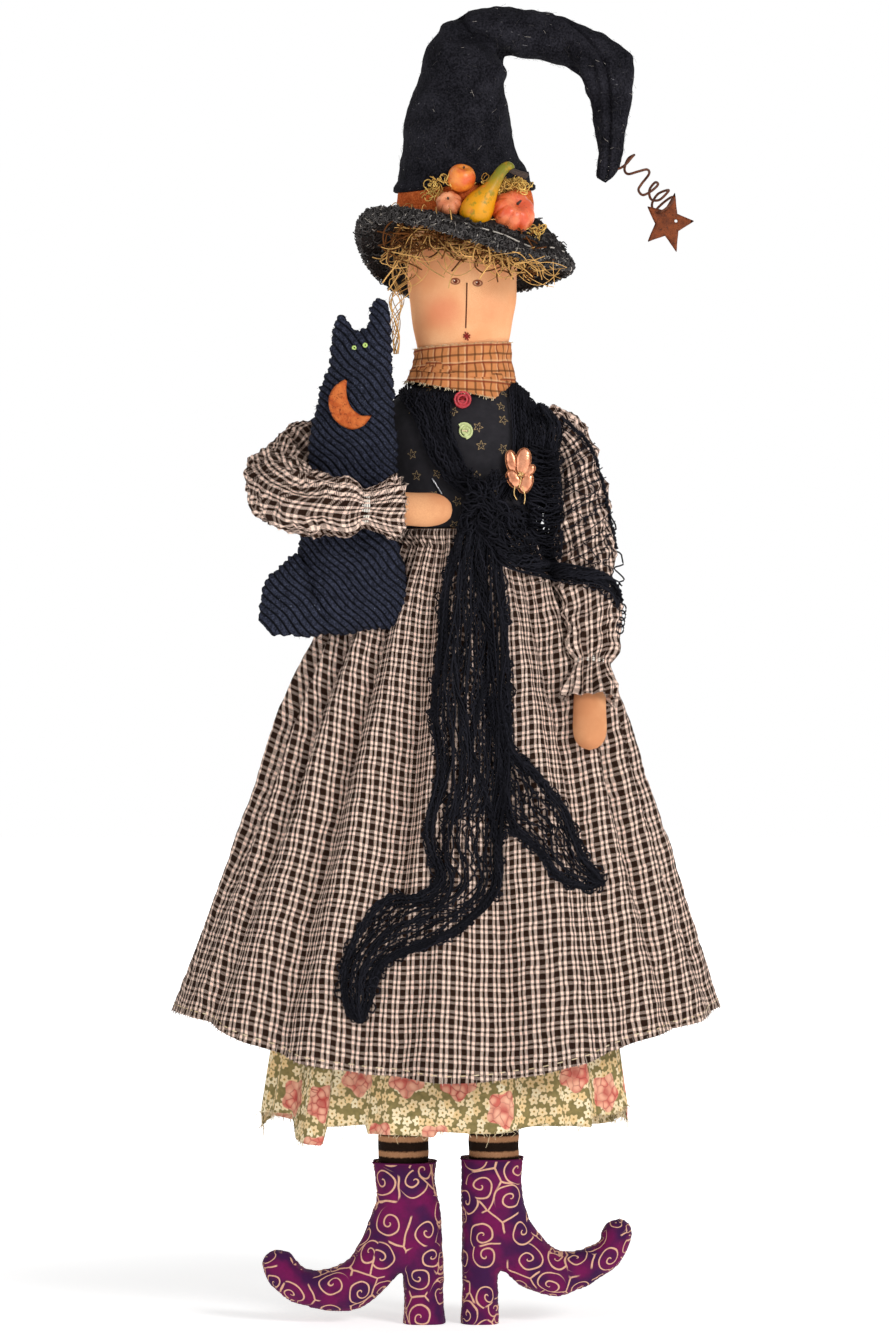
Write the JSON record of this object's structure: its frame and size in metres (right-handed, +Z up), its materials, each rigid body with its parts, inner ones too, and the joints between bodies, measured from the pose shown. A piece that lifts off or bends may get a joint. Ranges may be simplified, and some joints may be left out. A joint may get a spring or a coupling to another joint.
{
  "type": "rag doll",
  "caption": "Standing witch rag doll with a bent felt hat, checked gathered dress, floral petticoat, knitted shawl, curled boots and a stuffed cat held in one arm.",
  "frame": {"origin": "on the floor below the middle of the skirt, at the bottom centre of the bounding box", "axes": "+Z up, front of the doll towards -Y, +X towards the doll's own left"},
  "size_m": [0.3604, 0.2064, 0.8546],
  "materials": {
    "muslin": "matte tan cotton",
    "star_cotton": "matte black printed cotton",
    "check_cotton": "matte woven check",
    "floral_cotton": "matte printed cotton",
    "scarf_cotton": "matte woven plaid",
    "stripe_cotton": "matte knit stripe",
    "batik_cotton": "matte printed cotton",
    "black_wool": "matte wool felt",
    "shag_wool": "shaggy wool",
    "black_knit": "open knit",
    "rust_cloth": "matte cloth",
    "corduroy": "corduroy",
    "straw": "dry straw",
    "fibre": "polyester stuffing",
    "rusty_tin": "rusted",
    "copper": "worn copper",
    "steel": "plain",
    "red_plastic": "semi-gloss",
    "green_plastic": "semi-gloss",
    "green_glass": "glossy bead",
    "gourd_yellow": "painted foam",
    "gourd_stem": "twig",
    "pumpkin_orange": "painted foam",
    "moss": "dry moss",
    "thread": "cotton thread"
  },
  "bodies": {
    "torso_body": {"torso": "muslin", "bodice": "star_cotton", "petticoat": "floral_cotton", "skirt": "check_cotton", "neck_scarf": "scarf_cotton", "shawl_wrap": "black_knit", "shawl_knot": "black_knit", "shawl_long_tail": "black_knit", "shawl_short_tail": "black_knit", "red_button": "red_plastic", "red_button_stitch": "thread", "green_button": "green_plastic", "green_button_stitch": "thread", "brooch_pin": "steel", "brooch_stamen": "copper", "brooch_flower": "copper"},
    "head_body": {"head": "muslin", "hair_fringe": "straw", "hair_lock": "straw", "hat_filling": "fibre", "hat_crown": "black_wool", "hat_brim": "shag_wool", "hat_band": "rust_cloth", "gourd": "gourd_yellow", "gourd_stem": "gourd_stem", "large_pumpkin": "pumpkin_orange", "small_pumpkin": "pumpkin_orange", "round_fruit": "pumpkin_orange", "moss": "moss"},
    "star_body": {"star_spring": "rusty_tin", "rusty_star": "rusty_tin"},
    "left_arm_body": {"left_arm": "muslin", "left_sleeve": "check_cotton", "left_cuff_elastic": "fibre", "shawl_arm_drape": "black_knit"},
    "right_arm_body": {"right_arm": "muslin", "right_sleeve": "check_cotton", "right_cuff_elastic": "fibre", "cat_body": "corduroy", "cat_tail": "corduroy", "cat_eye_left": "green_glass", "cat_eye_right": "green_glass", "cat_moon": "rusty_tin"},
    "left_leg_body": {"left_leg": "stripe_cotton", "left_boot": "batik_cotton"},
    "right_leg_body": {"right_leg": "stripe_cotton", "right_boot": "batik_cotton"}
  },
  "joints": [
    {"name": "neck_nod", "type": "hinge", "parent": "torso_body", "child": "head_body", "pos_m": [0.011, 0, 0.6283], "axis": [1, 0, 0], "range_deg": [-8, 8], "stiffness_Nm_per_rad": 2},
    {"name": "star_bob", "type": "hinge", "parent": "head_body", "child": "star_body", "pos_m": [0.1077, 0, 0.751], "axis": [0, 1, 0], "range_deg": [-12, 12], "stiffness_Nm_per_rad": 0.06, "springref_deg": -1.72},
    {"name": "left_shoulder", "type": "hinge", "parent": "torso_body", "child": "left_arm_body", "pos_m": [0.068, 0, 0.572], "axis": [-1, 0, 0], "range_deg": [0, 80]},
    {"name": "right_shoulder", "type": "hinge", "parent": "torso_body", "child": "right_arm_body", "pos_m": [-0.046, 0.004, 0.572], "axis": [-1, 0, 0], "range_deg": [0, 12]},
    {"name": "left_hip", "type": "hinge", "parent": "torso_body", "child": "left_leg_body", "pos_m": [0.03125, -0.009, 0.4097], "axis": [1, 0, 0], "range_deg": [-7, 10]},
    {"name": "right_hip", "type": "hinge", "parent": "torso_body", "child": "right_leg_body", "pos_m": [-0.02725, -0.009, 0.4097], "axis": [1, 0, 0], "range_deg": [-7, 10]}
  ]
}
